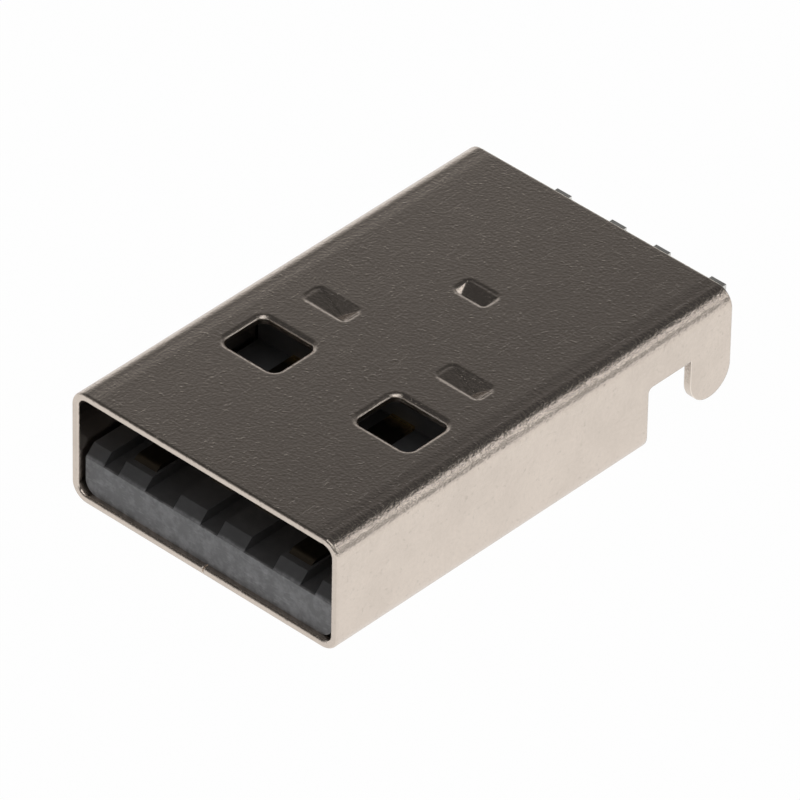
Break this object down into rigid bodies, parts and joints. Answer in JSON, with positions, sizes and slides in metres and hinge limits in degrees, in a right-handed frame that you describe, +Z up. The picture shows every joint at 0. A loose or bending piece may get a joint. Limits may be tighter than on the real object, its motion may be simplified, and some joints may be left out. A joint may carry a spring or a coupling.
{
  "type": "usb-a plug",
  "caption": "Right-angle board-mount USB-A plug: folded metal shell with latch windows and solder legs over a black insulator with gold contacts.",
  "frame": {"origin": "middle of the bounding box in plan, on the plane of the plug's underside", "axes": "+Y from the mating face to the solder tails, +X to the right seen from the mating face, +Z up from the underside to the face with the dimples"},
  "size_m": [0.012, 0.0212, 0.0045],
  "materials": {
    "shell_plating": "satin nickel plate over rolled sheet",
    "insulator": "moulded glass-filled resin",
    "contact_plating": "gold plate over copper alloy"
  },
  "bodies": {
    "root": {"shell": "shell_plating", "housing": "insulator", "contact_outer_left": "contact_plating", "contact_inner_left": "contact_plating", "contact_inner_right": "contact_plating", "contact_outer_right": "contact_plating"}
  },
  "joints": []
}
